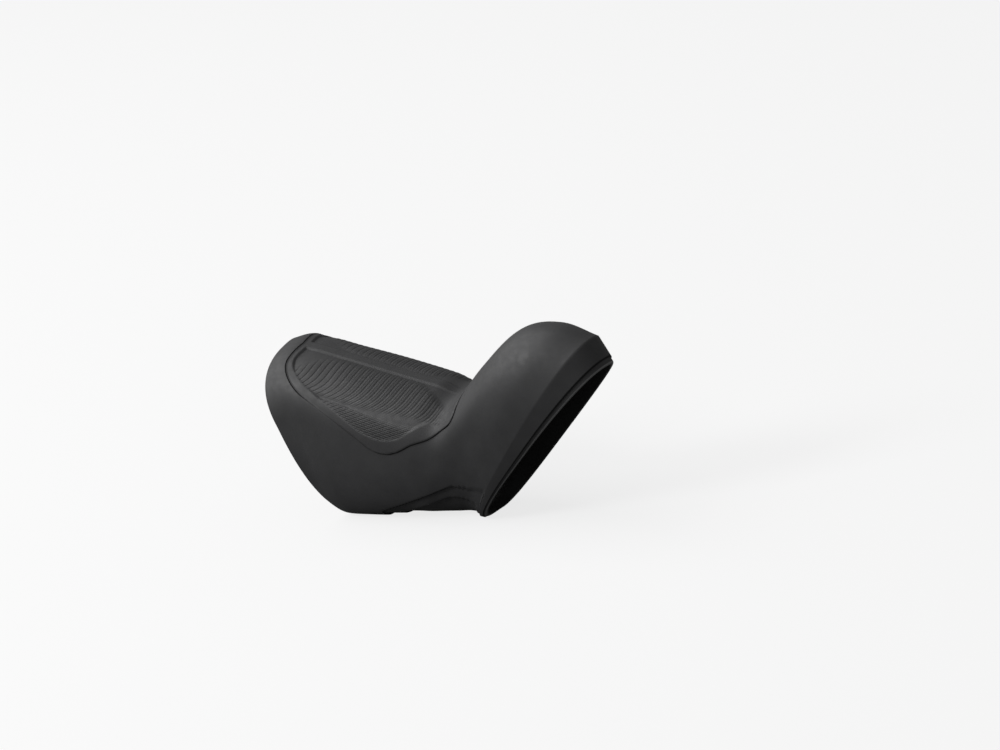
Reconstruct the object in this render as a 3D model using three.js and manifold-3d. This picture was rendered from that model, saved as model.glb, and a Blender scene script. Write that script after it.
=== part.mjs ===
import * as THREE from 'three';
import { mergeVertices } from 'three/addons/utils/BufferGeometryUtils.js';
import Module from 'manifold-3d';

const { smoothstep, lerp } = THREE.MathUtils;
const wasm = await Module();
wasm.setup();

// A moulded rubber hood for the brake lever of a road bicycle, the right-hand one of a pair.
// Millimetres. It is shaped as it is ridden: +X forward, +Y to the inner side, +Z up,
// with the origin at the rear end of the spine on top of the grip.
// The last section lays it down as it rests on a table.

// Crown line in side view
const gripLength = 60;
const gripHollow = 0.3;
const palmRise = 1.2;
const neckDrop = 0.4;
const rearOverhang = 11.2;
const rearDrop = 1.7;
const hornRise = 30.1;
const hornReach = 33;
const visorReach = 13;
const visorDrop = 1.6;
const mouthReach = 6.2;
const mouthDrop = 7.4;

// Sole in side view
const heelSetback = 18.7;
const heelDepth = 53.1;
const soleLength = 52.8;
const soleRise = 11.3;

// Half widths
const rearHalf = 19.1;
const gripHalf = 18.9;
const neckHalf = 17.2;
const hornHalf = 16.1;
const mouthHalf = 13.8;

// Rubber thickness, and how far the cutter of the room inside passes both ends
const wall = 2.7;
const rearWall = 1.6;
const mouthWall = 1.5;
const wallTaper = 12;
const cavityPass = 6;

// Thin lip round the front opening
const lipLength = 1.2;
const lipStep = 0.4;
const lipRun = 0.05;

// Textured panel on the grip: along is measured on the spine, round is measured on the skin from it
const panelRear = 3;
const shoulderAlong = 7;
const shoulderRound = 21.4;
const lobeAlong = 38;
const lobeRound = 33;
const lobeFall = 3;
const lobeSpread = 18;
const panelFront = 4;
const frontRound = 20;
const rearRim = 2.1;
const shoulderRim = 3.2;
const lobeRim = 4.7;
const frontRim = 4.4;
const panelRecess = 0.35;
const panelRaise = 0.45;
const spineHalf = 1.7;
const floorDepth = 0.55;
const floorRise = 0.06;
const floorRunOut = 10;
const raisedFrom = 36;

// Ribs across the panel
const ribPitch = 2.2;
const ribHeight = 0.42;
const ribBend = 16.5;
const ribBendWidth = 2;
const ribRake = 1.73;
const ribStart = 13;
const ribStartLean = 1.3;
const ribFade = 7;
const ribEnd = 56;
const ribEndLean = 0.55;
const bandAlong = 20;
const bandRound = 20.4;
const bandFall = 2.6;
const bandSpread = 3.8;

// Recesses low on the flanks, behind the front opening
const scoopLength = 31.5;
const scoopHeight = 16.9;
const scoopDepth = 0.7;
const innerScoopLength = 25;
const innerScoopHeight = 9.4;
const scoopMargin = 4.5;
const scoopSlope = 0.62;
const scoopNose = 8.5;

// Flats that the hood rests on
const padTrim = 0.6;

// The pad of the panel and its cutters: how far they reach above and below the skin, how far
// the frame's cutter overlaps the pad as a share of the rim, and how far the ribs' one passes the neck
const cutHeight = 2.4;
const padTop = 1.2;
const padBottom = -1;
const frameMargin = 0.12;
const ribsPastNeck = 16;

// Step for taking the skin's slope
const nudge = 0.02;

// Mesh steps
const outlineSteps = 42;
const panelColumns = 8;
const floorColumns = 8;
const ribColumns = 10;
const rowStep = 4;
const ringPoints = 42;
const cavityRowStep = 10;
const cavityRingPoints = 24;
const girthSteps = 60;

// Stations of the loft, each a slanted slice from the crown line to the sole
const neckX = gripLength;
const hornTopX = gripLength + hornReach;
const creaseX = hornTopX + visorReach;
const mouthX = creaseX + mouthReach;
const creaseZ = hornRise - visorDrop;
const onSole = (share) => ({
  baseX: heelSetback + share * soleLength,
  baseZ: share * soleRise - heelDepth,
});
const rear = {
  x: -rearOverhang, z: -rearDrop, ...onSole(0), half: rearHalf,
  widest: 0.61, crown: 2.4, sole: 2.5, sweep: 3.4, roll: 0.1, skew: -0.09,
};
const rearShoulder = {
  x: -rearOverhang * 0.46, z: palmRise * 0.9, ...onSole(0.03), half: rearHalf - 0.5,
  widest: 0.65, crown: 2.5, sole: 3.2, sweep: 2.5, roll: 0.1, skew: -0.08,
};
const spineEnd = {
  x: 1, z: palmRise + 0.4, ...onSole(0.07), half: rearHalf - 0.2,
  widest: 0.65, crown: 2.55, sole: 3.3, sweep: 2, roll: 0.1, skew: -0.06,
};
const palm = {
  x: gripLength * 0.23, z: palmRise, ...onSole(0.18), half: gripHalf + 0.1,
  widest: 0.62, crown: 2.6, sole: 3.2, sweep: 1.2, roll: 0.1, skew: -0.03,
};
const middle = {
  x: gripLength * 0.57, z: 0.15, ...onSole(0.36), half: gripHalf,
  widest: 0.6, crown: 2.7, sole: 2.9, sweep: 0, roll: 0.1, skew: 0,
};
const hollow = {
  x: gripLength * 0.83, z: -gripHollow, ...onSole(0.53), half: gripHalf - 0.7,
  widest: 0.57, crown: 2.7, sole: 2.6, sweep: 0, roll: 0.1, skew: 0,
};
const neck = {
  x: gripLength, z: -neckDrop, ...onSole(0.63), half: neckHalf,
  widest: 0.55, crown: 2.6, sole: 2.6, sweep: 0, roll: 0.08, skew: 0,
};
const hornFoot = {
  x: gripLength + hornReach * 0.276, z: hornRise * 0.422, ...onSole(0.71), half: neckHalf - 0.5,
  widest: 0.53, crown: 2.2, sole: 2.6, sweep: 0, roll: 0.04, skew: 0,
};
const hornBack = {
  x: gripLength + hornReach * 0.564, z: hornRise * 0.805, ...onSole(0.79), half: hornHalf + 0.1,
  widest: 0.52, crown: 2.2, sole: 2.6, sweep: 0, roll: 0.02, skew: 0.02,
};
const hornTop = {
  x: hornTopX, z: hornRise, ...onSole(0.87), half: hornHalf,
  widest: 0.51, crown: 2.3, sole: 2.4, sweep: 0, roll: 0, skew: 0.04,
};
const crease = {
  x: creaseX, z: creaseZ, ...onSole(0.95), half: hornHalf - 0.7,
  widest: 0.465, crown: 2.4, sole: 2.65, sweep: 0.6, roll: 0, skew: 0.06, sharp: true,
};
const mouth = {
  x: mouthX, z: creaseZ - mouthDrop, ...onSole(1), half: mouthHalf,
  widest: 0.43, crown: 2.55, sole: 3.1, sweep: 1.15, roll: 0, skew: 0.07,
};
const stations = [
  rear, rearShoulder, spineEnd, palm, middle, hollow, neck, hornFoot, hornBack, hornTop, crease, mouth,
];

// Slopes at each station, one either side, for a smooth curve through every measure
function slopesOf(measure) {
  const gaps = stations.slice(1).map((next, i) => next.x - stations[i].x);
  const rates = stations.slice(1).map((next, i) => (next[measure] - stations[i][measure]) / gaps[i]);
  return stations.map((station, i) => {
    const before = rates[Math.max(i - 1, 0)];
    const after = rates[Math.min(i, rates.length - 1)];
    if (station.sharp) return [before, after];
    const gapBefore = gaps[Math.max(i - 1, 0)];
    const gapAfter = gaps[Math.min(i, gaps.length - 1)];
    const shared = (before * gapAfter + after * gapBefore) / (gapBefore + gapAfter);
    return [shared, shared];
  });
}
const measures = ['z', 'baseX', 'baseZ', 'half', 'widest', 'crown', 'sole', 'sweep', 'roll', 'skew'];
const slopes = Object.fromEntries(measures.map((measure) => [measure, slopesOf(measure)]));

// The slice whose crown point is at x, shrunk all round by an inset
function slice(x, inset = 0) {
  let i = 0;
  while (i < stations.length - 2 && x > stations[i + 1].x) i += 1;
  const from = stations[i];
  const to = stations[i + 1];
  const gap = to.x - from.x;
  const t = (x - from.x) / gap;
  const cut = { x };
  for (const measure of measures) {
    const startSlope = slopes[measure][i][1] * gap;
    const endSlope = slopes[measure][i + 1][0] * gap;
    cut[measure] = (2 * t ** 3 - 3 * t ** 2 + 1) * from[measure]
      + (t ** 3 - 2 * t ** 2 + t) * startSlope
      + (3 * t ** 2 - 2 * t ** 3) * to[measure]
      + (t ** 3 - t ** 2) * endSlope;
  }
  const height = Math.hypot(cut.x - cut.baseX, cut.z - cut.baseZ);
  const alongX = (cut.x - cut.baseX) / height;
  const alongZ = (cut.z - cut.baseZ) / height;
  cut.x -= alongX * inset;
  cut.z -= alongZ * inset;
  cut.baseX += alongX * inset;
  cut.baseZ += alongZ * inset;
  cut.half -= inset;
  return cut;
}

// A point of a slice: angle 0 is the crown, positive angles go round by the inner side
function slicePoint(cut, angle) {
  const sine = Math.sin(angle);
  const cosine = Math.cos(angle);
  const power = 2 / (cosine >= 0 ? cut.crown : cut.sole);
  const side = Math.sign(sine) * Math.abs(sine) ** power;
  const rise = Math.abs(cosine) ** power;
  const share = cosine >= 0 ? cut.widest + (1 - cut.widest) * rise : cut.widest * (1 - rise);
  const lean = Math.max(0, (share - cut.widest) / (1 - cut.widest));
  const y = cut.half * side;
  return new THREE.Vector3(
    cut.baseX + (cut.x - cut.baseX) * share - cut.sweep * side * side + cut.skew * y,
    y,
    cut.baseZ + (cut.z - cut.baseZ) * share + cut.roll * y * lean,
  );
}

// Solids from points and triangles, with shared points merged and faces turned outward
function solid(points, triangles) {
  const known = new Map();
  const vertices = [];
  const merged = points.map((point) => {
    const key = point.toArray().map((value) => Math.round(value * 1e5)).join();
    if (!known.has(key)) {
      known.set(key, known.size);
      vertices.push(point.x, point.y, point.z);
    }
    return known.get(key);
  });
  const faces = triangles
    .map((triangle) => triangle.map((corner) => merged[corner]))
    .filter(([a, b, c]) => a !== b && b !== c && c !== a);
  const corner = (index) => new THREE.Vector3().fromArray(vertices, index * 3);
  const volume = faces.reduce(
    (sum, [a, b, c]) => sum + corner(a).dot(corner(b).cross(corner(c))),
    0,
  );
  if (volume < 0) faces.forEach((face) => face.reverse());
  return new wasm.Manifold(new wasm.Mesh({
    numProp: 3,
    vertProperties: Float32Array.from(vertices),
    triVerts: Uint32Array.from(faces.flat()),
  }));
}

// A solid from a closed three.js geometry
function fromGeometry(geometry) {
  geometry.deleteAttribute('normal');
  geometry.deleteAttribute('uv');
  const merged = mergeVertices(geometry, 1e-4);
  return new wasm.Manifold(new wasm.Mesh({
    numProp: 3,
    vertProperties: Float32Array.from(merged.attributes.position.array),
    triVerts: Uint32Array.from(merged.index.array),
  }));
}

// A tube through closed rings of points, with a flat fan at each end
function tube(rings) {
  const count = rings[0].length;
  const points = rings.flat();
  const triangles = [];
  for (let i = 0; i < rings.length - 1; i += 1) {
    for (let j = 0; j < count; j += 1) {
      const a = i * count + j;
      const b = i * count + (j + 1) % count;
      triangles.push([a, b, b + count], [a, b + count, a + count]);
    }
  }
  for (const [start, turned] of [[0, true], [(rings.length - 1) * count, false]]) {
    const ring = points.slice(start, start + count);
    const centre = ring.reduce((sum, point) => sum.add(point), new THREE.Vector3()).divideScalar(count);
    const middlePoint = points.push(centre) - 1;
    for (let j = 0; j < count; j += 1) {
      const a = start + j;
      const b = start + (j + 1) % count;
      triangles.push(turned ? [b, a, middlePoint] : [a, b, middlePoint]);
    }
  }
  return solid(points, triangles);
}

// A plate between two grids of points, closed by walls round their edges
function plate(lower, upper) {
  const rows = lower.length;
  const columns = lower[0].length;
  const points = [...lower.flat(), ...upper.flat()];
  const below = (i, j) => i * columns + j;
  const above = (i, j) => rows * columns + below(i, j);
  const triangles = [];
  const quad = (a, b, c, d) => triangles.push([a, b, c], [a, c, d]);
  for (let i = 0; i < rows - 1; i += 1) {
    for (let j = 0; j < columns - 1; j += 1) {
      quad(above(i, j), above(i + 1, j), above(i + 1, j + 1), above(i, j + 1));
      quad(below(i, j), below(i, j + 1), below(i + 1, j + 1), below(i + 1, j));
    }
    quad(below(i, 0), below(i + 1, 0), above(i + 1, 0), above(i, 0));
    quad(above(i, columns - 1), above(i + 1, columns - 1), below(i + 1, columns - 1), below(i, columns - 1));
  }
  for (let j = 0; j < columns - 1; j += 1) {
    quad(below(0, j + 1), below(0, j), above(0, j), above(0, j + 1));
    quad(below(rows - 1, j), below(rows - 1, j + 1), above(rows - 1, j + 1), above(rows - 1, j));
  }
  return solid(points, triangles);
}

// Crown positions of the slices, no more than a step apart along the crown line
function crownRows(step) {
  const rows = [stations[0].x];
  for (let i = 0; i < stations.length - 1; i += 1) {
    const from = stations[i];
    const to = stations[i + 1];
    const count = Math.ceil(Math.hypot(to.x - from.x, to.z - from.z) / step);
    for (let k = 1; k <= count; k += 1) rows.push(from.x + (to.x - from.x) * k / count);
  }
  return rows;
}

function ring(x, inset, count) {
  const cut = slice(x, inset);
  return Array.from({ length: count }, (_, j) => slicePoint(cut, 2 * Math.PI * j / count));
}

// Outer body, with the thin lip at its front end
function outerBody() {
  const lipStart = mouthX - lipLength;
  const rings = crownRows(rowStep).filter((x) => x < lipStart - lipStep).map((x) => ring(x, 0, ringPoints));
  rings.push(ring(lipStart, 0, ringPoints));
  rings.push(ring(lipStart + lipRun, lipStep, ringPoints));
  rings.push(ring(mouthX, lipStep, ringPoints));
  return tube(rings);
}

// Inner room for the lever body, cut through both ends
function cavity() {
  const thickness = (x) => {
    const fromRear = lerp(rearWall, wall, smoothstep(x, -rearOverhang, wallTaper - rearOverhang));
    return lerp(fromRear, mouthWall + lipStep, smoothstep(x, mouthX - wallTaper, mouthX));
  };
  const rings = crownRows(cavityRowStep).map((x) => ring(x, thickness(x), cavityRingPoints));
  const beyond = (loop, away) => loop.map((point) => point.clone().add(away));
  const first = beyond(rings[0], new THREE.Vector3(-cavityPass, 0, -cavityPass / 2));
  const last = beyond(rings[rings.length - 1], new THREE.Vector3(cavityPass, 0, -0.7 * cavityPass));
  return tube([first, ...rings, last]);
}

// Places on the skin, by distance along the crown and round the skin from it
const girthTables = new Map();
function girthTable(x, side) {
  const key = `${x.toFixed(4)} ${side}`;
  if (!girthTables.has(key)) {
    const cut = slice(x);
    const table = [0];
    let last = slicePoint(cut, 0);
    for (let k = 1; k <= girthSteps; k += 1) {
      const next = slicePoint(cut, side * Math.PI * k / girthSteps);
      table.push(table[k - 1] + next.distanceTo(last));
      last = next;
    }
    girthTables.set(key, table);
  }
  return girthTables.get(key);
}

function angleAt(x, around) {
  const side = around < 0 ? -1 : 1;
  const table = girthTable(x, side);
  let k = 0;
  while (k < girthSteps - 1 && Math.abs(around) > table[k + 1]) k += 1;
  const t = (Math.abs(around) - table[k]) / (table[k + 1] - table[k]);
  return side * Math.PI * (k + t) / girthSteps;
}

function skin(x, around, lift) {
  const angle = angleAt(x, around);
  const here = slicePoint(slice(x), angle);
  const alongStep = slicePoint(slice(x + nudge), angle).sub(slicePoint(slice(x - nudge), angle));
  const aroundStep = slicePoint(slice(x), angle + nudge).sub(slicePoint(slice(x), angle - nudge));
  const normal = alongStep.cross(aroundStep).normalize();
  return here.addScaledVector(normal, lift);
}

// Panel outline from the rear end of the spine, round one side, to the front end.
// Share 0 is the outer edge of the frame and share 1 its inner edge.
function panelOutline(share) {
  const rearX = share * rearRim - panelRear;
  const frontX = neckX + panelFront - share * frontRim;
  const shoulder = shoulderRound - share * shoulderRim;
  const lobe = lobeRound - share * lobeRim;
  const front = frontRound - 0.8 * share * frontRim;
  const waistX = frontX - 3;
  const cornerBulge = 6 - 4 * share;
  const outline = new THREE.Path();
  outline.moveTo(rearX, 0);
  outline.lineTo(rearX - 0.8, 0.4 * shoulder);
  outline.bezierCurveTo(
    rearX - 1.6, 0.65 * shoulder,
    rearX + 0.35 * shoulderAlong, 0.88 * shoulder,
    rearX + shoulderAlong, shoulder,
  );
  outline.lineTo(lobeAlong - 0.6 * lobeSpread, lobe - lobeFall * (1 - 0.5 * share));
  outline.bezierCurveTo(
    lobeAlong - 0.2 * lobeSpread, lobe + 0.2,
    lobeAlong + 0.05 * lobeSpread, lobe + 0.2,
    lobeAlong + 0.4 * lobeSpread, lobe - 0.9 * lobeFall,
  );
  outline.bezierCurveTo(
    lobeAlong + 0.7 * lobeSpread, lobe - 2 * lobeFall,
    waistX - 3, front,
    waistX, front,
  );
  outline.bezierCurveTo(waistX + 3, front, frontX + 3.6, front + cornerBulge, frontX + 2.2, 0.88 * front);
  outline.lineTo(frontX + 0.4, 0.4 * front);
  outline.lineTo(frontX - 1, 0);
  return outline.getSpacedPoints(outlineSteps);
}

const frameLift = (x, around) => lerp(
  -panelRecess,
  panelRaise * smoothstep(Math.abs(around), 3 * spineHalf, ribBend),
  smoothstep(x, 0, raisedFrom),
);

// Grid over the whole panel, its rows fanning from the spine to the outline on both sides
function panelGrid(share, lift) {
  const outline = panelOutline(share);
  const first = outline[0].x;
  const last = outline[outline.length - 1].x;
  return outline.map((end, i) => {
    const spineX = lerp(first, last, i / (outline.length - 1));
    const row = [];
    for (let j = -panelColumns; j <= panelColumns; j += 1) {
      const t = Math.abs(j) / panelColumns;
      const x = lerp(spineX, end.x, t);
      const around = Math.sign(j) * end.y * t;
      row.push(skin(x, around, lift(x, around)));
    }
    return row;
  });
}

// Grid over one side of the ribbed floor, inside the frame and clear of the spine
function floorGrid(side, lift) {
  const outline = panelOutline(1).filter((point) => point.y > spineHalf);
  const first = outline[0].x;
  const last = outline[outline.length - 1].x;
  return outline.map((end, i) => {
    const spineX = lerp(first, last, i / (outline.length - 1));
    return Array.from({ length: floorColumns + 1 }, (_, j) => {
      const t = j / floorColumns;
      const around = side * lerp(spineHalf, end.y, t);
      return skin(lerp(spineX, end.x, t), around, lift);
    });
  });
}

// Ribs run straight out from the spine, then bend back along the flank
const ribSweep = (around) => ribRake * ribBendWidth
  * Math.log1p(Math.exp((Math.abs(around) - ribBend) / ribBendWidth));

// Depth of the floor below the frame, running out just above it in front
const floorBelowFrame = (x) => lerp(floorDepth, -floorRise, smoothstep(x, neckX - floorRunOut, neckX + 1));

// Strength of the ribs: they fade at the rear, at the spine, at the neck and in a smooth band above the lobe
function ribStrength(x, around) {
  const girth = Math.abs(around);
  const fromRear = smoothstep(x + ribStartLean * girth, ribStart, ribStart + ribFade);
  const spineEdge = spineHalf + ribEndLean * Math.max(0, x - lobeAlong - ribFade);
  const fromSpine = smoothstep(girth, spineEdge, spineEdge + 0.5 * ribFade);
  const toNeck = 1 - smoothstep(x, ribEnd, ribEnd + ribFade);
  const bandTop = bandRound - bandFall * smoothstep(x, bandAlong, neckX);
  const bandWidth = bandSpread * smoothstep(x, bandAlong, bandAlong + 1.4 * lobeSpread);
  const aboveBand = 1 - smoothstep(girth, bandTop - 0.4 * ribFade, bandTop);
  const belowBand = smoothstep(girth, bandTop + 0.4 * bandWidth, bandTop + bandWidth);
  return fromRear * fromSpine * toNeck * Math.max(aboveBand, belowBand);
}

// Crown position of the slice where the line across passes a line round the skin
function ribCrossing(across, around) {
  const reach = ribSweep(around);
  let low = -rearOverhang;
  let high = neckX + ribsPastNeck - 2;
  for (let k = 0; k < 16; k += 1) {
    const between = (low + high) / 2;
    if (skin(between, around, 0).x + reach < across) low = between;
    else high = between;
  }
  return (low + high) / 2;
}

// Everything above the ribbed floor on one side
function floorCut(side) {
  const rows = 2 * Math.ceil((neckX + ribsPastNeck + panelRear) / ribPitch);
  const floor = [];
  const top = [];
  for (let i = 0; i <= rows; i += 1) {
    const across = i * ribPitch / 2 - panelRear - 1;
    const isCrest = i % 2 === 1;
    const floorRow = [];
    const topRow = [];
    for (let j = 0; j <= ribColumns; j += 1) {
      const around = side * lerp(0.4 * spineHalf, lobeRound, j / ribColumns);
      const x = ribCrossing(across, around);
      const crest = isCrest ? ribHeight * ribStrength(x, around) : 0;
      floorRow.push(skin(x, around, frameLift(x, around) - floorBelowFrame(x) + crest));
      topRow.push(skin(x, around, cutHeight));
    }
    floor.push(floorRow);
    top.push(topRow);
  }
  const inside = plate(floorGrid(side, -cutHeight), floorGrid(side, 0.8 * cutHeight));
  return plate(floor, top).intersect(inside);
}

// Recesses behind the front opening, cut to a depth below the skin on both flanks
function scoop(length, height, depth) {
  const soleAt = (x) => (x - heelSetback) / soleLength * soleRise - heelDepth;
  const front = heelSetback + soleLength - scoopMargin;
  const rearX = front - length;
  const top = soleAt(front) + height;
  const mouthLean = (mouthX - mouth.baseX) / (mouth.z - mouth.baseZ);
  const crest = front - scoopNose + height * mouthLean;
  const half = 0.5 * scoopNose;
  const foot = top - 0.25 * half - scoopSlope * (crest - half - rearX);
  const outline = new THREE.Shape();
  outline.moveTo(rearX, soleAt(rearX) - half);
  outline.lineTo(rearX, foot);
  outline.lineTo(crest - half, top - 0.25 * half);
  outline.bezierCurveTo(
    crest - 0.4 * half, top + 0.1 * half,
    crest + 0.6 * half, top,
    crest + 1.1 * half, top - 0.35 * half,
  );
  outline.bezierCurveTo(
    crest + 1.4 * half, top - 0.5 * half,
    crest + 1.3 * half, top - 0.8 * half,
    crest + 1.1 * half, top - half,
  );
  outline.lineTo(front, soleAt(front) - half);
  const width = gripHalf * 4;
  const block = new THREE.ExtrudeGeometry(outline, { depth: width, bevelEnabled: false, curveSegments: 7 });
  block.rotateX(Math.PI / 2);
  block.translate(0, width / 2, 0);
  const core = tube(crownRows(cavityRowStep).map((x) => ring(x, depth, ringPoints)));
  return fromGeometry(block).subtract(core);
}

// The hood: body with its panel frame, less the ribbed floor, the scoops and the room inside
const pad = plate(panelGrid(0, () => padBottom), panelGrid(0, () => padTop));
const aboveFrame = plate(panelGrid(-frameMargin, frameLift), panelGrid(-frameMargin, () => cutHeight));
let hood = outerBody().add(pad).subtract(aboveFrame);
hood = hood.subtract(floorCut(1)).subtract(floorCut(-1));
hood = hood.subtract(scoop(scoopLength, scoopHeight, scoopDepth));
hood = hood.subtract(scoop(innerScoopLength, innerScoopHeight, 2 * scoopDepth));
hood = hood.subtract(cavity());

// The sole is trimmed flat where the hood rests, at the heel and behind the front opening
const restTilt = Math.atan2(soleRise, soleLength);
const trimBlock = new THREE.BoxGeometry(8 * gripLength, 8 * gripHalf, 2 * heelDepth);
trimBlock.translate(0, 0, padTrim - heelDepth);
trimBlock.rotateY(-restTilt);
trimBlock.translate(heelSetback, 0, -heelDepth);
hood = hood.subtract(fromGeometry(trimBlock));

const { vertProperties, triVerts } = hood.getMesh();
const geometry = new THREE.BufferGeometry();
geometry.setAttribute('position', new THREE.BufferAttribute(vertProperties, 3));
geometry.setIndex(new THREE.BufferAttribute(triVerts, 1));
geometry.computeVertexNormals();

const rubber = new THREE.MeshStandardMaterial({ color: 0x2b2b2c, roughness: 0.78, metalness: 0 });
const leverHood = new THREE.Mesh(geometry, rubber);
leverHood.name = 'lever_hood';

// Laid as it rests, nose down on its sole, with the origin under the middle of its box
const part = new THREE.Group();
part.add(leverHood);
leverHood.rotation.y = restTilt;
part.updateMatrixWorld(true);
const box = new THREE.Box3().setFromObject(part, true);
leverHood.position.set(-(box.min.x + box.max.x) / 2, -(box.min.y + box.max.y) / 2, -box.min.z);

export default part;
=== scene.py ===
import math

import bpy
import numpy as np
from mathutils import Matrix, Vector


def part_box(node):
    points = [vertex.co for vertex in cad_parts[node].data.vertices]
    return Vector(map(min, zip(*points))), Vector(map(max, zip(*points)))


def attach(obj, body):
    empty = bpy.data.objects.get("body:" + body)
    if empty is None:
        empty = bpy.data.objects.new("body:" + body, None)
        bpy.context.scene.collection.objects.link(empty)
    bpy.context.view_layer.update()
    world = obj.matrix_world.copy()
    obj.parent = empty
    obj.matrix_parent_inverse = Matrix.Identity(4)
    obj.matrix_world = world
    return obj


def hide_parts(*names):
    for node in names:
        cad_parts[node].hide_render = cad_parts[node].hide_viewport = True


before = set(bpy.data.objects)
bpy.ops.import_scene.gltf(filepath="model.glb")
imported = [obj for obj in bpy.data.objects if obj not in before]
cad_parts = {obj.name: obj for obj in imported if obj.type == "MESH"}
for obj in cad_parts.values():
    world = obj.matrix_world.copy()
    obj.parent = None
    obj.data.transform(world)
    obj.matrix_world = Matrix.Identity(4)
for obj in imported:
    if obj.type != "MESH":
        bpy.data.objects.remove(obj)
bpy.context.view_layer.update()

MM = 0.001

# The hood as it is ridden, in millimetres: +X forward, +Z up, origin at the rear end of the spine
GRIP_LENGTH = 60.0
GRIP_HOLLOW = 0.3
PALM_RISE = 1.2
NECK_DROP = 0.4
REAR_OVERHANG = 11.2
REAR_DROP = 1.7
HORN_RISE = 30.1
HORN_REACH = 33.0
VISOR_REACH = 13.0
VISOR_DROP = 1.6
MOUTH_REACH = 6.2
MOUTH_DROP = 7.4
HEEL_SETBACK = 18.7
HEEL_DEPTH = 53.1
SOLE_LENGTH = 52.8
SOLE_RISE = 11.3
REAR_HALF = 19.1
GRIP_HALF = 18.9
NECK_HALF = 17.2
HORN_HALF = 16.1
MOUTH_HALF = 13.8

# Rubber thickness, and the thin lip round the front opening
WALL = 2.7
REAR_WALL = 1.6
MOUTH_WALL = 1.5
WALL_TAPER = 12.0
LIP_LENGTH = 1.2
LIP_STEP = 0.4
RIM_ROUND = 0.32

# Textured panel: along is measured on the spine, round is measured on the skin from it
PANEL_REAR = 3.0
SHOULDER_ALONG = 7.0
SHOULDER_ROUND = 21.4
LOBE_ALONG = 38.0
LOBE_ROUND = 33.0
LOBE_FALL = 3.0
LOBE_SPREAD = 18.0
PANEL_FRONT = 4.0
FRONT_ROUND = 20.0
REAR_RIM = 2.1
SHOULDER_RIM = 3.2
LOBE_RIM = 4.7
FRONT_RIM = 4.4
PANEL_RECESS = 0.35
PANEL_RAISE = 0.45
SPINE_HALF = 1.7
FLOOR_DEPTH = 0.55
FLOOR_RISE = 0.06
FLOOR_RUN_OUT = 10.0
FLOOR_PAST_NECK = 1.0
RAISED_FROM = 36.0
STEP_WIDTH = 0.5
STEP_OUTSIDE = 0.1
REAR_BOW = 0.8
LOBE_BULGE = 0.2
WAIST_ALONG = 3.0
CORNER_REACH = 3.6
OUTER_BULGE = 6.0
INNER_BULGE = 2.0
CORNER_END = 2.2
EDGE_REACH = 0.4
SPINE_SETBACK = 1.0

# Ribs across the panel
RIB_PITCH = 2.2
RIB_SHIFT = 1.0
RIB_HEIGHT = 0.42
GROOVE_DEPTH = 0.07
RIB_BEND = 16.5
RIB_BEND_WIDTH = 2.0
RIB_RAKE = 1.73
RIB_START = 13.0
RIB_START_LEAN = 1.3
RIB_FADE = 7.0
RIB_END = 56.0
RIB_END_LEAN = 0.55
BAND_ALONG = 20.0
BAND_ROUND = 20.4
BAND_FALL = 2.6
BAND_SPREAD = 3.8

# Grooves along the ribs, in parts of their pitch, with a shallow one on top of each rib. They are
# bumped in and darkened with painted shade
HALF_PITCH = 0.5
RIB_GROOVE = 0.17
SHALLOW_GROOVE = 0.9 * RIB_GROOVE
GROOVE_BOTTOM = 0.02
SHALLOW_REAR = 0.15
SHALLOW_FRONT = 0.8
SHALLOW_RISE = (10.0, 30.0)
GROOVE_SHADE = 0.42

# Seams on the edges of the panel, the recesses and the lip, bumped in and darkened with painted
# shade. The panel's is faint over its middle
SEAM_HALF = 0.26
SEAM_CORE = 0.2
SEAM_OFFSET = 0.1
SEAM_SHADE = 0.9
SEAM_FADE = (2.0, 10.0)
SEAM_RETURN = (30.0, 40.0)
SEAM_FAINT = 0.35
INNER_SCOOP_SEAM = 0.5
LIP_SEAM = 0.8

# Recesses low on the flanks
SCOOP_LENGTH = 31.5
SCOOP_HEIGHT = 16.9
SCOOP_DEPTH = 0.7
INNER_SCOOP_LENGTH = 25.0
INNER_SCOOP_HEIGHT = 9.4
SCOOP_MARGIN = 4.5
SCOOP_SLOPE = 0.62
SCOOP_NOSE = 8.5
SCOOP_EDGE = 0.5
PAD_TRIM = 0.6

# Measures kept on the mesh for the material, with their value away from the features
FIELDS = {
    "frame_edge": -20.0,
    "edge_strength": 1.0,
    "rib_place": 0.0,
    "rib_strength": 0.0,
    "shallow_strength": 0.0,
    "scoop_edge": -20.0,
    "inner_scoop_edge": -20.0,
    "lip_edge": 20.0,
    # rim marks where the painted highlight goes and inner where the painted shade goes
    "rim": 0.0,
    "inner": 0.0,
}

# Mesh steps, and how far round the features their rows and measures go
REAR_ROW_STEP = 0.8
PANEL_ROW_STEP = 0.34
ROW_STEP = 1.2
VISOR_ROW_STEP = 0.9
INNER_ROW_STEP = 3.0
CREASE_GAP = 0.45
LIP_GAP = 0.2
LIP_ROWS_HALF = 0.04
LIP_FOOT = 0.16
LIP_FOOT_SHARE = 0.92
RIM_TURNS = (0.3, 0.7, 1.0)
PANEL_ROWS_BEHIND = 2.0
PANEL_ROWS_AHEAD = 4.0
PANEL_ZONE = 3.0
PANEL_ZONE_AHEAD = 5.0
SCOOP_ZONE = 8.0
CURVE_STEPS = 24
FINE_GIRTH = 34.5
GIRTH_STEP = 0.36
SOLE_COLUMNS = 44
GIRTH_SAMPLES = 240
NUDGE = 0.02

NECK_X = GRIP_LENGTH
HORN_TOP_X = GRIP_LENGTH + HORN_REACH
CREASE_X = HORN_TOP_X + VISOR_REACH
MOUTH_X = CREASE_X + MOUTH_REACH
LIP_X = MOUTH_X - LIP_LENGTH
CREASE_Z = HORN_RISE - VISOR_DROP
MOUTH_Z = CREASE_Z - MOUTH_DROP
REST_TILT = math.atan2(SOLE_RISE, SOLE_LENGTH)

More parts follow.
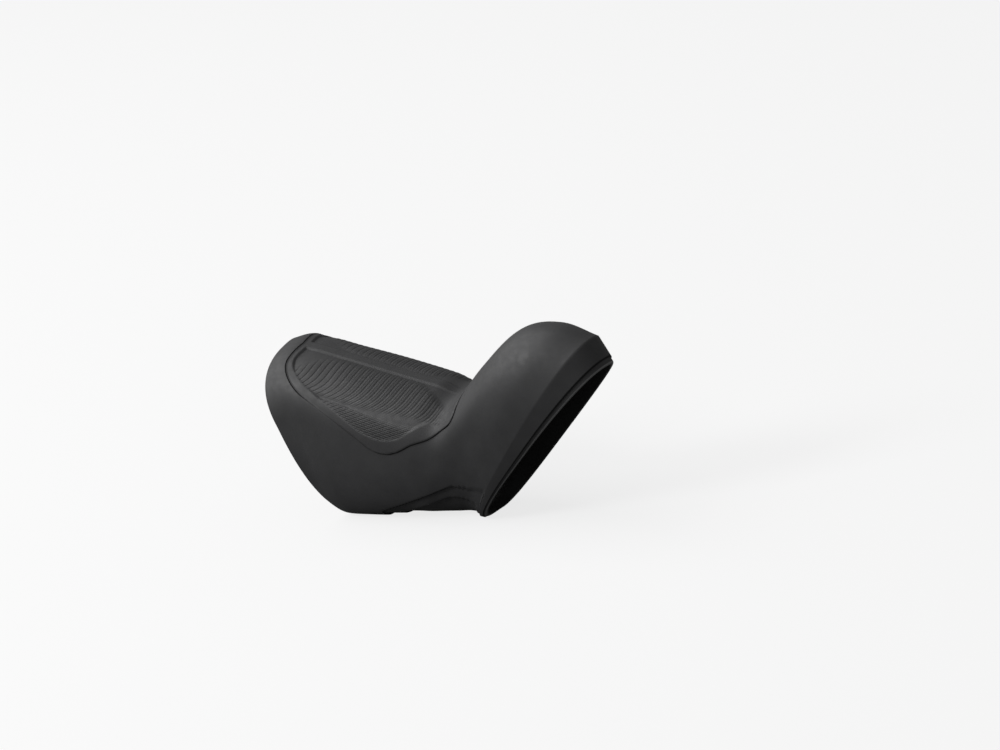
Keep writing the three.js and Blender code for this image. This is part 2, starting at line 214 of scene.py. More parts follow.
# Stations of the loft: crown x and z, place on the sole, half width, height of the widest point,
# squareness of crown and sole, sweep, roll, skew
MEASURES = ["x", "z", "base", "half", "widest", "crown", "sole", "sweep", "roll", "skew"]
STATIONS = np.array([
    [-REAR_OVERHANG, -REAR_DROP, 0, REAR_HALF, 0.61, 2.4, 2.5, 3.4, 0.1, -0.09],
    [
        -REAR_OVERHANG * 0.46, PALM_RISE * 0.9,
        0.03, REAR_HALF - 0.5, 0.65, 2.5, 3.2, 2.5, 0.1, -0.08,
    ],
    [1, PALM_RISE + 0.4, 0.07, REAR_HALF - 0.2, 0.65, 2.55, 3.3, 2, 0.1, -0.06],
    [GRIP_LENGTH * 0.23, PALM_RISE, 0.18, GRIP_HALF + 0.1, 0.62, 2.6, 3.2, 1.2, 0.1, -0.03],
    [GRIP_LENGTH * 0.57, 0.15, 0.36, GRIP_HALF, 0.6, 2.7, 2.9, 0, 0.1, 0],
    [GRIP_LENGTH * 0.83, -GRIP_HOLLOW, 0.53, GRIP_HALF - 0.7, 0.57, 2.7, 2.6, 0, 0.1, 0],
    [NECK_X, -NECK_DROP, 0.63, NECK_HALF, 0.55, 2.6, 2.6, 0, 0.08, 0],
    [
        NECK_X + HORN_REACH * 0.276, HORN_RISE * 0.422,
        0.71, NECK_HALF - 0.5, 0.53, 2.2, 2.6, 0, 0.04, 0,
    ],
    [
        NECK_X + HORN_REACH * 0.564, HORN_RISE * 0.805,
        0.79, HORN_HALF + 0.1, 0.52, 2.2, 2.6, 0, 0.02, 0.02,
    ],
    [HORN_TOP_X, HORN_RISE, 0.87, HORN_HALF, 0.51, 2.3, 2.4, 0, 0, 0.04],
    [CREASE_X, CREASE_Z, 0.95, HORN_HALF - 0.7, 0.465, 2.4, 2.65, 0.6, 0, 0.06],
    [MOUTH_X, MOUTH_Z, 1, MOUTH_HALF, 0.43, 2.55, 3.1, 1.15, 0, 0.07],
])
SHARP_STATION = 10


def smoothstep(value, low, high):
    t = np.clip((value - low) / np.maximum(high - low, 1e-6), 0, 1)
    return t * t * (3 - 2 * t)


def lerp(a, b, t):
    return a + (b - a) * t


def station_slopes():
    """Rates of the measures just before and after each station, which differ at the crease."""
    gaps = np.diff(STATIONS[:, 0])
    rates = np.diff(STATIONS, axis=0) / gaps[:, None]
    count = len(STATIONS)
    earlier = np.maximum(np.arange(count) - 1, 0)
    later = np.minimum(np.arange(count), count - 2)
    before, gap_before = rates[earlier], gaps[earlier][:, None]
    after, gap_after = rates[later], gaps[later][:, None]
    shared = (before * gap_after + after * gap_before) / (gap_before + gap_after)
    arriving, leaving = shared.copy(), shared.copy()
    arriving[SHARP_STATION] = before[SHARP_STATION]
    leaving[SHARP_STATION] = after[SHARP_STATION]
    return arriving, leaving


ARRIVING, LEAVING = station_slopes()


def cuts(x, inset):
    """Measures of the slices whose crown points are at x, shrunk all round by an inset."""
    i = np.searchsorted(STATIONS[1:-1, 0], x, side="left")
    gap = (STATIONS[i + 1, 0] - STATIONS[i, 0])[:, None]
    t = (x[:, None] - STATIONS[i, 0][:, None]) / gap
    values = (
        (2 * t**3 - 3 * t**2 + 1) * STATIONS[i]
        + (t**3 - 2 * t**2 + t) * LEAVING[i] * gap
        + (3 * t**2 - 2 * t**3) * STATIONS[i + 1]
        + (t**3 - t**2) * ARRIVING[i + 1] * gap
    )
    cut = {name: values[:, k][:, None] for k, name in enumerate(MEASURES)}
    cut["x"] = x[:, None]
    cut["base_x"] = HEEL_SETBACK + cut["base"] * SOLE_LENGTH
    cut["base_z"] = cut["base"] * SOLE_RISE - HEEL_DEPTH
    height = np.hypot(cut["x"] - cut["base_x"], cut["z"] - cut["base_z"])
    along_x = (cut["x"] - cut["base_x"]) / height
    along_z = (cut["z"] - cut["base_z"]) / height
    inset = np.broadcast_to(inset, x.shape)[:, None]
    cut["x"] = cut["x"] - along_x * inset
    cut["z"] = cut["z"] - along_z * inset
    cut["base_x"] = cut["base_x"] + along_x * inset
    cut["base_z"] = cut["base_z"] + along_z * inset
    cut["half"] = cut["half"] - inset
    return cut


def points_of(cut, angle):
    """Points of slices: angle 0 is the crown, positive angles go round by the inner side."""
    sine, cosine = np.sin(angle), np.cos(angle)
    power = 2 / np.where(cosine >= 0, cut["crown"], cut["sole"])
    side = np.sign(sine) * np.abs(sine) ** power
    rise = np.abs(cosine) ** power
    widest = cut["widest"]
    share = np.where(cosine >= 0, widest + (1 - widest) * rise, widest * (1 - rise))
    lean = np.maximum(0, (share - widest) / (1 - widest))
    y = cut["half"] * side
    x = cut["base_x"] + (cut["x"] - cut["base_x"]) * share
    x = x - cut["sweep"] * side**2 + cut["skew"] * y
    z = cut["base_z"] + (cut["z"] - cut["base_z"]) * share + cut["roll"] * y * lean
    return np.stack([x, y, z], axis=-1)


def angles_for(x, girths, columns_beyond):
    """Angles of a row of columns on each slice, and their distances round the skin.

    Both ways round from the crown come the set girths, then even steps on to the sole.
    """
    samples = np.linspace(0, math.pi, GIRTH_SAMPLES + 1)
    both = []
    for side in (-1, 1):
        track = points_of(cuts(x, 0.0), side * samples[None, :])
        steps = np.linalg.norm(np.diff(track, axis=1), axis=2)
        length = np.concatenate([np.zeros((len(x), 1)), np.cumsum(steps, axis=1)], axis=1)
        rows, reach = [], []
        for row in length:
            beyond = np.linspace(girths[-1], row[-1], columns_beyond + 1)[1:]
            wanted = np.concatenate([girths, beyond])
            rows.append(side * np.interp(wanted, row, samples))
            reach.append(side * wanted)
        both.append((np.array(rows), np.array(reach)))
    (left, left_girth), (right, right_girth) = both
    angle = np.concatenate([left[:, ::-1], right[:, 1:-1]], axis=1)
    girth = np.concatenate([left_girth[:, ::-1], right_girth[:, 1:-1]], axis=1)
    return angle, girth


def bezier(a, b, c, d):
    """Points of a cubic curve after its start."""
    t = np.linspace(0, 1, CURVE_STEPS + 1)[1:, None]
    a, b, c, d = map(np.array, (a, b, c, d))
    return a * (1 - t) ** 3 + 3 * b * t * (1 - t) ** 2 + 3 * c * t**2 * (1 - t) + d * t**3


def panel_outline(share):
    """Panel outline on the skin from the rear end of the spine, round one side, to the front end.

    Share 0 is the outer edge of the frame and share 1 its inner edge.
    """
    rear_x = share * REAR_RIM - PANEL_REAR
    front_x = NECK_X + PANEL_FRONT - share * FRONT_RIM
    shoulder = SHOULDER_ROUND - share * SHOULDER_RIM
    lobe = LOBE_ROUND - share * LOBE_RIM
    front = FRONT_ROUND - 0.8 * share * FRONT_RIM
    waist_x = front_x - WAIST_ALONG
    corner_bulge = lerp(OUTER_BULGE, INNER_BULGE, share)
    corner = (rear_x - REAR_BOW, 0.4 * shoulder)
    shoulder_end = (rear_x + SHOULDER_ALONG, shoulder)
    lobe_start = (LOBE_ALONG - 0.6 * LOBE_SPREAD, lobe - LOBE_FALL * (1 - 0.5 * share))
    lobe_end = (LOBE_ALONG + 0.4 * LOBE_SPREAD, lobe - 0.9 * LOBE_FALL)
    waist = (waist_x, front)
    front_end = (front_x + CORNER_END, 0.88 * front)
    return np.concatenate([
        np.array([(rear_x, 0), corner]),
        bezier(
            corner,
            (rear_x - 2 * REAR_BOW, 0.65 * shoulder),
            (rear_x + 0.35 * SHOULDER_ALONG, 0.88 * shoulder),
            shoulder_end,
        ),
        np.array([lobe_start]),
        bezier(
            lobe_start,
            (LOBE_ALONG - 0.2 * LOBE_SPREAD, lobe + LOBE_BULGE),
            (LOBE_ALONG + 0.05 * LOBE_SPREAD, lobe + LOBE_BULGE),
            lobe_end,
        ),
        bezier(
            lobe_end,
            (LOBE_ALONG + 0.7 * LOBE_SPREAD, lobe - 2 * LOBE_FALL),
            (waist_x - WAIST_ALONG, front),
            waist,
        ),
        bezier(
            waist,
            (waist_x + WAIST_ALONG, front),
            (front_x + CORNER_REACH, front + corner_bulge),
            front_end,
        ),
        np.array([(front_x + EDGE_REACH, 0.4 * front), (front_x - SPINE_SETBACK, 0)]),
    ])


def inside_by(points, outline, closed):
    """Distance of points inside an outline, negative outside.

    The line that closes an open outline bounds it, but isn't measured from.
    """
    loop = np.concatenate([outline, outline[:1]])
    ring = loop if closed else outline
    nearest = np.full(len(points), np.inf)
    for a, b in zip(ring[:-1], ring[1:]):
        along = b - a
        t = np.clip(((points - a) @ along) / max(along @ along, 1e-12), 0, 1)
        gap = points - a - t[:, None] * along
        nearest = np.minimum(nearest, (gap**2).sum(axis=1))
    inside = np.zeros(len(points), bool)
    for a, b in zip(loop[:-1], loop[1:]):
        crosses = (a[1] > points[:, 1]) != (b[1] > points[:, 1])
        with np.errstate(divide="ignore", invalid="ignore"):
            at = a[0] + (points[:, 1] - a[1]) * (b[0] - a[0]) / (b[1] - a[1])
        inside ^= crosses & (points[:, 0] < at)
    return np.where(inside, 1, -1) * np.sqrt(nearest)


def rib_strength(x, girth):
    """Ribs fade at the rear, at the spine, at the neck and in a smooth band above the lobe."""
    from_rear = smoothstep(x + RIB_START_LEAN * girth, RIB_START, RIB_START + RIB_FADE)
    spine_edge = SPINE_HALF + RIB_END_LEAN * np.maximum(0, x - LOBE_ALONG - RIB_FADE)
    from_spine = smoothstep(girth, spine_edge, spine_edge + 0.5 * RIB_FADE)
    to_neck = 1 - smoothstep(x, RIB_END, RIB_END + RIB_FADE)
    band_top = BAND_ROUND - BAND_FALL * smoothstep(x, BAND_ALONG, NECK_X)
    band_width = BAND_SPREAD * smoothstep(x, BAND_ALONG, BAND_ALONG + 1.4 * LOBE_SPREAD)
    above = 1 - smoothstep(girth, band_top - 0.4 * RIB_FADE, band_top)
    below = smoothstep(girth, band_top + 0.4 * band_width, band_top + band_width)
    return from_rear * from_spine * to_neck * np.maximum(above, below)


def panel_fields(x, girth, forward):
    """Places on and round the panel, at crown place x, distance round and riding place forward."""
    girth = np.abs(girth)
    places = np.stack([x, girth], axis=1)
    on_frame = inside_by(places, panel_outline(0), False)
    on_floor = np.minimum(inside_by(places, panel_outline(1), False), girth - SPINE_HALF)
    raised = PANEL_RAISE * smoothstep(girth, 3 * SPINE_HALF, RIB_BEND)
    frame_lift = lerp(-PANEL_RECESS, raised, smoothstep(x, 0, RAISED_FROM))
    run_out = smoothstep(x, NECK_X - FLOOR_RUN_OUT, NECK_X + FLOOR_PAST_NECK)
    floor_below = lerp(FLOOR_DEPTH, -FLOOR_RISE, run_out)
    sweep = RIB_RAKE * RIB_BEND_WIDTH * np.log1p(np.exp((girth - RIB_BEND) / RIB_BEND_WIDTH))
    phase = (forward + sweep + PANEL_REAR + RIB_SHIFT) / RIB_PITCH
    strength = rib_strength(x, girth)
    groove = 0.5 + 0.5 * np.cos(2 * math.pi * phase)
    ribs = strength * (RIB_HEIGHT - GROOVE_DEPTH * groove)
    frame_share = smoothstep(on_frame, -STEP_OUTSIDE, STEP_WIDTH - STEP_OUTSIDE)
    floor_share = smoothstep(on_floor, 0, STEP_WIDTH)
    seam_return = (1 - SEAM_FAINT) * smoothstep(x, *SEAM_RETURN)
    return {
        "lift": frame_share * (frame_lift - floor_share * (floor_below - ribs)),
        "frame_edge": on_frame,
        "rib_place": phase,
        "rib_strength": strength * floor_share,
        "shallow_strength": lerp(SHALLOW_REAR, SHALLOW_FRONT, smoothstep(x, *SHALLOW_RISE)),
        "edge_strength": lerp(1, SEAM_FAINT, smoothstep(x, *SEAM_FADE)) + seam_return,
    }


def scoop_outline(length, height):
    """Outline of a recess low on the flanks, in side view."""
    front = HEEL_SETBACK + SOLE_LENGTH - SCOOP_MARGIN
    rear = front - length

    def sole_at(x):
        return (x - HEEL_SETBACK) / SOLE_LENGTH * SOLE_RISE - HEEL_DEPTH

    top = sole_at(front) + height
    mouth_lean = (MOUTH_X - HEEL_SETBACK - SOLE_LENGTH) / (MOUTH_Z - SOLE_RISE + HEEL_DEPTH)
    crest = front - SCOOP_NOSE + height * mouth_lean
    half = 0.5 * SCOOP_NOSE
    foot = top - 0.25 * half - SCOOP_SLOPE * (crest - half - rear)
    arch = (crest - half, top - 0.25 * half)
    nose = (crest + 1.1 * half, top - 0.35 * half)
    tip = (crest + 1.1 * half, top - half)
    return np.concatenate([
        np.array([(rear, sole_at(rear) - half), (rear, foot), arch]),
        bezier(arch, (crest - 0.4 * half, top + 0.1 * half), (crest + 0.6 * half, top), nose),
        bezier(
            nose,
            (crest + 1.4 * half, top - 0.5 * half),
            (crest + 1.3 * half, top - 0.8 * half),
            tip,
        ),
        np.array([(front, sole_at(front) - half)]),
    ])


def scoop_fields(forward, up):
    """Places on the flanks inside the recesses, and their depth as a negative lift."""
    places = np.stack([forward, up], axis=1)
    outer = inside_by(places, scoop_outline(SCOOP_LENGTH, SCOOP_HEIGHT), True)
    inner = inside_by(places, scoop_outline(INNER_SCOOP_LENGTH, INNER_SCOOP_HEIGHT), True)
    depth = smoothstep(outer, 0, SCOOP_EDGE) + smoothstep(inner, 0, SCOOP_EDGE)
    return {"lift": -SCOOP_DEPTH * depth, "scoop_edge": outer, "inner_scoop_edge": inner}


def thickness(x):
    """Rubber thickness at crown place x, thinner towards both ends."""
    from_rear = lerp(REAR_WALL, WALL, smoothstep(x, -REAR_OVERHANG, WALL_TAPER - REAR_OVERHANG))
    return lerp(from_rear, MOUTH_WALL + LIP_STEP, smoothstep(x, MOUTH_X - WALL_TAPER, MOUTH_X))


def stepped(start, end, step):
    return np.linspace(start, end, math.ceil(abs(end - start) / step) + 1)


def outer_rows():
    """Crown places of the outer rows and how far each is inset, from rear rim to front lip."""
    panel_start = -PANEL_REAR - PANEL_ROWS_BEHIND
    panel_end = NECK_X + PANEL_FRONT + PANEL_ROWS_AHEAD
    rows = np.unique(np.concatenate([
        stepped(-REAR_OVERHANG + RIM_ROUND, panel_start, REAR_ROW_STEP),
        stepped(panel_start, panel_end, PANEL_ROW_STEP),
        stepped(panel_end, CREASE_X - CREASE_GAP, ROW_STEP),
        np.array([CREASE_X]),
        stepped(CREASE_X + CREASE_GAP, LIP_X - LIP_GAP, VISOR_ROW_STEP),
        np.array([LIP_X - LIP_ROWS_HALF]),
    ]))
    lip_rows = np.array([LIP_X + LIP_ROWS_HALF, LIP_X + LIP_FOOT, MOUTH_X - RIM_ROUND])
    lip_insets = np.array([LIP_STEP * LIP_FOOT_SHARE, LIP_STEP, LIP_STEP])
    insets = np.concatenate([np.zeros(len(rows)), lip_insets])
    return np.concatenate([rows, lip_rows]), insets


def rim_rows(end, inward, start_inset, end_inset):
    """A rim with rounded corners: across the wall at one end of the hood, inset to inset."""
    turn = 1 if end_inset > start_inset else -1
    rows = []
    for share in RIM_TURNS:
        turned = share * math.pi / 2
        rows.append((
            end + inward * RIM_ROUND * (1 - math.sin(turned)),
            start_inset + turn * RIM_ROUND * (1 - math.cos(turned)),
        ))
    rows += [(place, start_inset + end_inset - inset) for place, inset in reversed(rows)]
    return np.array([row for row, _ in rows]), np.array([inset for _, inset in rows])


def hood_grid():
    """Rings of points over the outer skin, round the front rim, back inside, round the rear rim."""
    girths = np.linspace(0, FINE_GIRTH, round(FINE_GIRTH / GIRTH_STEP) + 1)
    rows, insets = outer_rows()
    angle, girth = angles_for(rows, girths, SOLE_COLUMNS)
    skin = points_of(cuts(rows, insets), angle)

    ahead = np.minimum(rows + NUDGE, MOUTH_X)
    behind = np.maximum(rows - NUDGE, -REAR_OVERHANG)
    along = points_of(cuts(ahead, insets), angle) - points_of(cuts(behind, insets), angle)
    cut = cuts(rows, insets)
    around = points_of(cut, angle + NUDGE) - points_of(cut, angle - NUDGE)
    normal = np.cross(along, around)
    normal /= np.linalg.norm(normal, axis=2)[..., None]

    fields = {name: np.full(skin.shape[:2], value) for name, value in FIELDS.items()}
    lift = np.zeros(skin.shape[:2])
    crown_x = np.broadcast_to(rows[:, None], lift.shape)
    forward, up = skin[..., 0], skin[..., 2]
    near_panel = (
        (np.abs(girth) < LOBE_ROUND + PANEL_ZONE)
        & (crown_x > -PANEL_REAR - PANEL_ZONE)
        & (crown_x < NECK_X + PANEL_FRONT + PANEL_ZONE_AHEAD)
    )
    near_scoop = (up < SCOOP_HEIGHT + SCOOP_ZONE - HEEL_DEPTH) & (insets[:, None] == 0)
    for near, found in (
        (near_panel, panel_fields(crown_x[near_panel], girth[near_panel], forward[near_panel])),
        (near_scoop, scoop_fields(forward[near_scoop], up[near_scoop])),
    ):
        lift[near] += found.pop("lift")
        for name, values in found.items():
            fields[name][near] = values
    fields["lip_edge"] = crown_x - LIP_X
    skin = skin + normal * lift[..., None]

    front_wall = thickness(np.array([MOUTH_X]))[0]
    front_rim, front_insets = rim_rows(MOUTH_X, -1, LIP_STEP, front_wall)
    inner = stepped(MOUTH_X - RIM_ROUND, -REAR_OVERHANG + RIM_ROUND, INNER_ROW_STEP)
    rear_rim, rear_insets = rim_rows(-REAR_OVERHANG, 1, REAR_WALL, 0.0)
    other_rows = np.concatenate([front_rim, inner, rear_rim])
    other_insets = np.concatenate([front_insets, thickness(inner), rear_insets])
    other_angle, _ = angles_for(other_rows, girths, SOLE_COLUMNS)
    others = points_of(cuts(other_rows, other_insets), other_angle)
    # Rows that get the painted highlight of the front rim and the painted shade of the inner wall
    marked = {
        "rim": slice(0, len(front_rim) // 2),
        "inner": slice(len(front_rim), -len(rear_rim)),
    }
    for name, values in fields.items():
        rest = np.full(others.shape[:2], FIELDS[name])
        if name in marked:
            rest[marked[name]] = 1.0
        fields[name] = np.concatenate([values, rest])
    return np.concatenate([skin, others]), fields


def at_rest(points):
    """Turns points from the riding frame to the resting one. The trimmed sole is at z = 0."""
    cosine, sine = math.cos(REST_TILT), math.sin(REST_TILT)
    sole = -HEEL_SETBACK * sine - HEEL_DEPTH * cosine + PAD_TRIM
    x, y, z = points[..., 0], points[..., 1], points[..., 2]
    return np.stack([x * cosine + z * sine, y, z * cosine - x * sine - sole], axis=-1)


# The hood's mesh, laid down and set in the CAD box
node_low, node_high = (np.array(corner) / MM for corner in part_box("lever_hood"))
grid, fields = hood_grid()
grid = at_rest(grid)
grid[..., 2] = np.maximum(grid[..., 2], 0)
low = grid.reshape(-1, 3).min(axis=0)
high = grid.reshape(-1, 3).max(axis=0)
OFFSET = (node_low + node_high - low - high) / 2
OFFSET[2] = 0
centre = (node_low + node_high) / 2
centre[2] = 0
shrink = np.minimum((node_high - node_low) / (high - low), 1)
vertices = (grid.reshape(-1, 3) + OFFSET - centre) * shrink + centre

ring_count, column_count = grid.shape[:2]
index = np.arange(ring_count * column_count).reshape(ring_count, column_count)
next_ring = np.roll(index, -1, axis=0)
corners = [index, np.roll(index, -1, axis=1), np.roll(next_ring, -1, axis=1), next_ring]
quads = np.stack(corners, axis=-1).reshape(-1, 4)[:, ::-1]

mesh = bpy.data.meshes.new("hood")
mesh.from_pydata((vertices * MM).tolist(), [], quads.tolist())
mesh.polygons.foreach_set("use_smooth", [True] * len(mesh.polygons))
mesh.update()
for name, values in fields.items():
    attribute = mesh.attributes.new(name, "FLOAT", "POINT")
    attribute.data.foreach_set("value", values.reshape(-1).tolist())
hood = bpy.data.objects.new("hood", mesh)
bpy.context.scene.collection.objects.link(hood)


# Rubber: colours, with painted shade and a painted highlight, noises as scale and detail, and the
# heights of its bumps
RUBBER_DARK = (0.024, 0.024, 0.025, 1)
RUBBER_PALE = (0.028, 0.028, 0.029, 1)
# Painted shade: the inner wall is the same rubber, coloured darker
PAINTED_INSIDE_SHADE = (0.009, 0.009, 0.009, 1)
# Painted highlight: the front rim is the same rubber, coloured much paler
PAINTED_RIM_HIGHLIGHT = (0.16, 0.16, 0.16, 1)
# Painted shade: the colour of the grooves and seams
PAINTED_GROOVE_SHADE = (0.002, 0.002, 0.002, 1)
TINT_NOISE = (140, 4)
ROUGH_NOISE = (420, 3)
GRAIN_NOISE = (2600, 2)
NOISE_RANGE = (0.3, 0.7)
ROUGHNESS = (0.56, 0.64)
SPECULAR = 0.42
GRAIN_STRENGTH = 0.35
GRAIN_HEIGHT = 0.04 * MM
HOLLOW_STRENGTH = 0.6
HOLLOW_HEIGHT = 0.12 * MM


def rubber_material():
    """Matt moulded rubber: fine grain, rib grooves and the seams of panel, recesses and lip.
    Painted shade darkens grooves, seams and the inner wall; a painted highlight pales the front
    rim.
    """
    material = bpy.data.materials.new("rubber")
    material.use_nodes = True
    nodes, links = material.node_tree.nodes, material.node_tree.links
    shader = nodes["Principled BSDF"]
    place = nodes.new("ShaderNodeTexCoord").outputs["Object"]

    def noise(scale, detail):
        node = nodes.new("ShaderNodeTexNoise")
        node.inputs["Scale"].default_value = scale
        node.inputs["Detail"].default_value = detail
        links.new(place, node.inputs["Vector"])
        return node.outputs["Fac"]

    def ranged(value, from_low, from_high, to_low, to_high):
        node = nodes.new("ShaderNodeMapRange")
        node.interpolation_type = "SMOOTHSTEP"
        node.inputs["From Min"].default_value = from_low
        node.inputs["From Max"].default_value = from_high
        node.inputs["To Min"].default_value = to_low
        node.inputs["To Max"].default_value = to_high
        links.new(value, node.inputs["Value"])
        return node.outputs["Result"]

    def maths(operation, value, other=None):
        node = nodes.new("ShaderNodeMath")
        node.operation = operation
        for socket, item in zip(node.inputs, (value, other)):
            if isinstance(item, float):
                socket.default_value = item
            elif item is not None:
                links.new(item, socket)
        return node.outputs["Value"]

    def field(name):
        node = nodes.new("ShaderNodeAttribute")
        node.attribute_name = name
        return node.outputs["Fac"]

    def seam(name, centre):
        """1 on the line where a field passes a value, fading to 0 beside it."""
        away = maths("ABSOLUTE", maths("SUBTRACT", field(name), centre))
        return ranged(away, SEAM_CORE * SEAM_HALF, SEAM_HALF, 1.0, 0.0)

    def mixed(under, over, share):
        """One colour over another, by a share."""
        node = nodes.new("ShaderNodeMix")
        node.data_type = "RGBA"
        for socket, colour in ((node.inputs[6], under), (node.inputs[7], over)):
            if isinstance(colour, tuple):
                socket.default_value = colour
            else:
                links.new(colour, socket)
        links.new(share, node.inputs["Factor"])
        return node.outputs[2]

    def bump(height, strength, distance):
        node = nodes.new("ShaderNodeBump")
        node.inputs["Strength"].default_value = strength
        node.inputs["Distance"].default_value = distance
        links.new(height, node.inputs["Height"])
        return node

    from_groove = maths("PINGPONG", field("rib_place"), HALF_PITCH)
    deep = ranged(from_groove, GROOVE_BOTTOM, RIB_GROOVE, 1.0, 0.0)
    rib_top = (HALF_PITCH - SHALLOW_GROOVE, HALF_PITCH - GROOVE_BOTTOM)
    shallow = ranged(from_groove, *rib_top, 0.0, 1.0)
    shallow = maths("MULTIPLY", shallow, field("shallow_strength"))
    grooves = maths("MULTIPLY", maths("ADD", deep, shallow), field("rib_strength"))
    frame_seam = maths("MULTIPLY", seam("frame_edge", 0.0), field("edge_strength"))
    lip_seam = maths("MULTIPLY", seam("lip_edge", -SEAM_OFFSET), LIP_SEAM)
    scoop_seam = seam("scoop_edge", SEAM_OFFSET)
    inner_seam = maths("MULTIPLY", seam("inner_scoop_edge", SEAM_OFFSET), INNER_SCOOP_SEAM)
    seams = maths("MAXIMUM", frame_seam, lip_seam)
    seams = maths("MAXIMUM", seams, maths("MAXIMUM", scoop_seam, inner_seam))
    # Painted shade in the grooves and seams, for the colour and to dim the reflection there
    groove_shade = maths("MULTIPLY", grooves, GROOVE_SHADE)
    painted_shade = maths("MAXIMUM", groove_shade, maths("MULTIPLY", seams, SEAM_SHADE))

    colour = mixed(RUBBER_DARK, RUBBER_PALE, ranged(noise(*TINT_NOISE), *NOISE_RANGE, 0, 1))
    # Painted shade over the inner wall
    colour = mixed(colour, PAINTED_INSIDE_SHADE, field("inner"))
    # Painted highlight on the front rim
    colour = mixed(colour, PAINTED_RIM_HIGHLIGHT, field("rim"))
    # Painted shade in the grooves and seams
    colour = mixed(colour, PAINTED_GROOVE_SHADE, painted_shade)
    links.new(colour, shader.inputs["Base Color"])
    roughness = ranged(noise(*ROUGH_NOISE), *NOISE_RANGE, *ROUGHNESS)
    links.new(roughness, shader.inputs["Roughness"])
    specular = maths("MULTIPLY", maths("SUBTRACT", 1.0, painted_shade), SPECULAR)
    links.new(specular, shader.inputs["Specular IOR Level"])

    grain = bump(noise(*GRAIN_NOISE), GRAIN_STRENGTH, GRAIN_HEIGHT)
    cut = bump(maths("ADD", grooves, seams), HOLLOW_STRENGTH, HOLLOW_HEIGHT)
    cut.invert = True
    links.new(grain.outputs["Normal"], cut.inputs["Normal"])
    links.new(cut.outputs["Normal"], shader.inputs["Normal"])
    return material


mesh.materials.append(rubber_material())
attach(hood, "root")
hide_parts("lever_hood")


FLOOR_HALF = 6.0
FLOOR_CORNERS = [(-1, -1), (1, -1), (1, 1), (-1, 1)]
FLOOR_COLOUR = (0.62, 0.62, 0.62, 1)
FLOOR_ROUGHNESS = 0.9
FLOOR_GLOW = 0.78
WHITE = (1, 1, 1, 1)


def floor_material():
    """Pale floor, near white to the camera, with the hood's shadow on it."""
    material = bpy.data.materials.new("floor")
    material.use_nodes = True
    nodes, links = material.node_tree.nodes, material.node_tree.links
    output = nodes["Material Output"]
    shader = nodes["Principled BSDF"]
    shader.inputs["Base Color"].default_value = FLOOR_COLOUR
    shader.inputs["Roughness"].default_value = FLOOR_ROUGHNESS
    shader.inputs["Specular IOR Level"].default_value = 0.0
    glow = nodes.new("ShaderNodeEmission")
    glow.inputs["Color"].default_value = WHITE
    rays = nodes.new("ShaderNodeLightPath")
    links.new(rays.outputs["Is Camera Ray"], glow.inputs["Strength"])
    dim = nodes.new("ShaderNodeMixShader")
    dim.inputs["Fac"].default_value = FLOOR_GLOW
    links.new(shader.outputs["BSDF"], dim.inputs[1])
    links.new(glow.outputs["Emission"], dim.inputs[2])
    links.new(dim.outputs["Shader"], output.inputs["Surface"])
    return material


floor_mesh = bpy.data.meshes.new("floor")
floor_points = [(x * FLOOR_HALF, y * FLOOR_HALF, 0) for x, y in FLOOR_CORNERS]
floor_mesh.from_pydata(floor_points, [], [(0, 1, 2, 3)])
floor_mesh.materials.append(floor_material())
floor = bpy.data.objects.new("floor", floor_mesh)
bpy.context.scene.collection.objects.link(floor)


# World light: dim on the hood, white to the camera
AMBIENT = 0.3
BACKDROP = 1.0

world = bpy.data.worlds.new("studio")
bpy.context.scene.world = world
world.use_nodes = True
background = world.node_tree.nodes["Background"]
background.inputs["Color"].default_value = WHITE
rays = world.node_tree.nodes.new("ShaderNodeLightPath")
ambient = world.node_tree.nodes.new("ShaderNodeMapRange")
ambient.inputs["To Min"].default_value = AMBIENT
ambient.inputs["To Max"].default_value = BACKDROP
world.node_tree.links.new(rays.outputs["Is Camera Ray"], ambient.inputs["Value"])
world.node_tree.links.new(ambient.outputs["Result"], background.inputs["Strength"])


LAMP_DISTANCE = 1.5
LAMP_AIM = Vector((0, 0, 0.03))


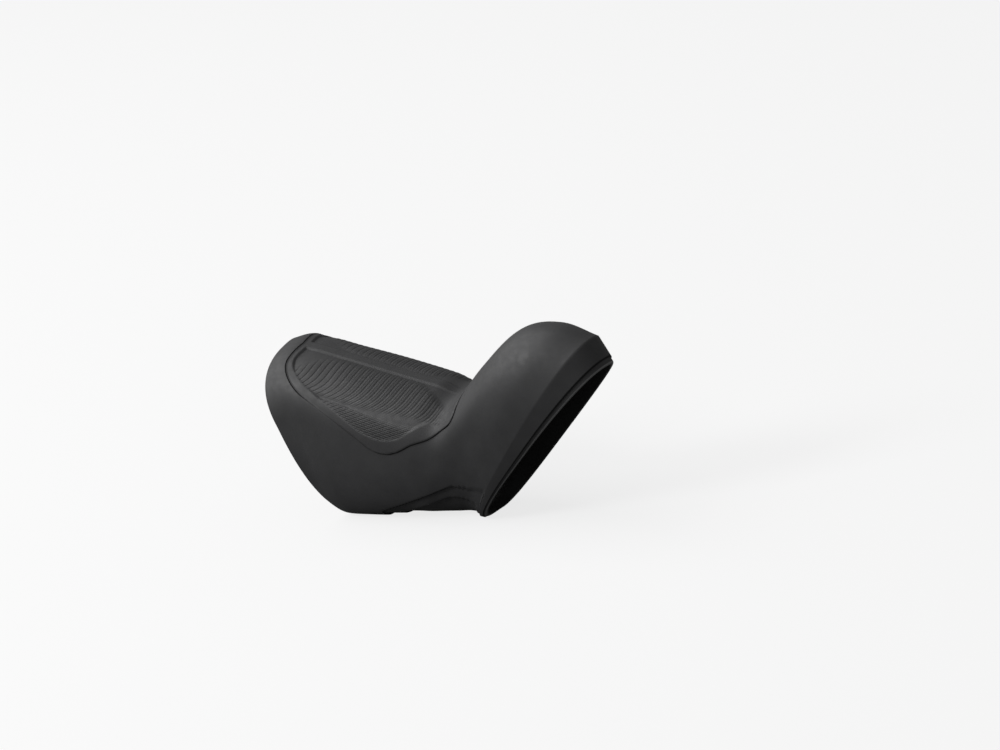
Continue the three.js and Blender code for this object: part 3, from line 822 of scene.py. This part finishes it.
def lamp(name, direction, size, power):
    """A soft square lamp that faces the hood."""
    data = bpy.data.lights.new(name, "AREA")
    data.shape = "SQUARE"
    data.size = size
    data.energy = power
    lamp_object = bpy.data.objects.new(name, data)
    towards = Vector(direction).normalized()
    lamp_object.location = towards * LAMP_DISTANCE + LAMP_AIM
    lamp_object.rotation_mode = "QUATERNION"
    lamp_object.rotation_quaternion = towards.to_track_quat("Z", "Y")
    bpy.context.scene.collection.objects.link(lamp_object)


lamp("key", direction=(-0.68, -0.05, 0.76), size=1.4, power=17)
lamp("side", direction=(-0.51, -0.66, 0.55), size=0.5, power=16.5)

# Camera, set in the riding frame by a point of the spine, its pixel and its depth
AZIMUTH = math.radians(31)
ELEVATION = math.radians(25)
FOCAL_PIXELS = 3920.0
IMAGE_WIDTH = 1000.0
IMAGE_HEIGHT = 750.0
SENSOR_WIDTH = 36.0
SEEN_POINT = np.array([33.3, 0.0, 0.0])
SEEN_PIXEL = (396.6, 370.2)
SEEN_DEPTH = 1277.0

cos_a, sin_a = math.cos(AZIMUTH), math.sin(AZIMUTH)
cos_e, sin_e = math.cos(ELEVATION), math.sin(ELEVATION)
right = np.array([cos_a, sin_a, 0])
up = np.array([-sin_a * sin_e, cos_a * sin_e, cos_e])
ahead = np.array([-sin_a * cos_e, cos_a * cos_e, -sin_e])
across = (SEEN_PIXEL[0] - IMAGE_WIDTH / 2) / FOCAL_PIXELS
above = (IMAGE_HEIGHT / 2 - SEEN_PIXEL[1]) / FOCAL_PIXELS
eye = SEEN_POINT - SEEN_DEPTH * (right * across + up * above + ahead)
turn = at_rest(np.stack([right, up, -ahead])) - at_rest(np.zeros((3, 3)))

camera_data = bpy.data.cameras.new("camera")
camera_data.sensor_width = SENSOR_WIDTH
camera_data.sensor_fit = "HORIZONTAL"
camera_data.lens = FOCAL_PIXELS / IMAGE_WIDTH * SENSOR_WIDTH
camera = bpy.data.objects.new("camera", camera_data)
bpy.context.scene.collection.objects.link(camera)
pose = Matrix.Identity(4)
for axis in range(3):
    for k in range(3):
        pose[k][axis] = turn[axis][k]
    pose[axis][3] = (at_rest(eye)[axis] + OFFSET[axis]) * MM
camera.matrix_world = pose
bpy.context.scene.camera = camera
bpy.context.scene.view_settings.view_transform = "Standard"
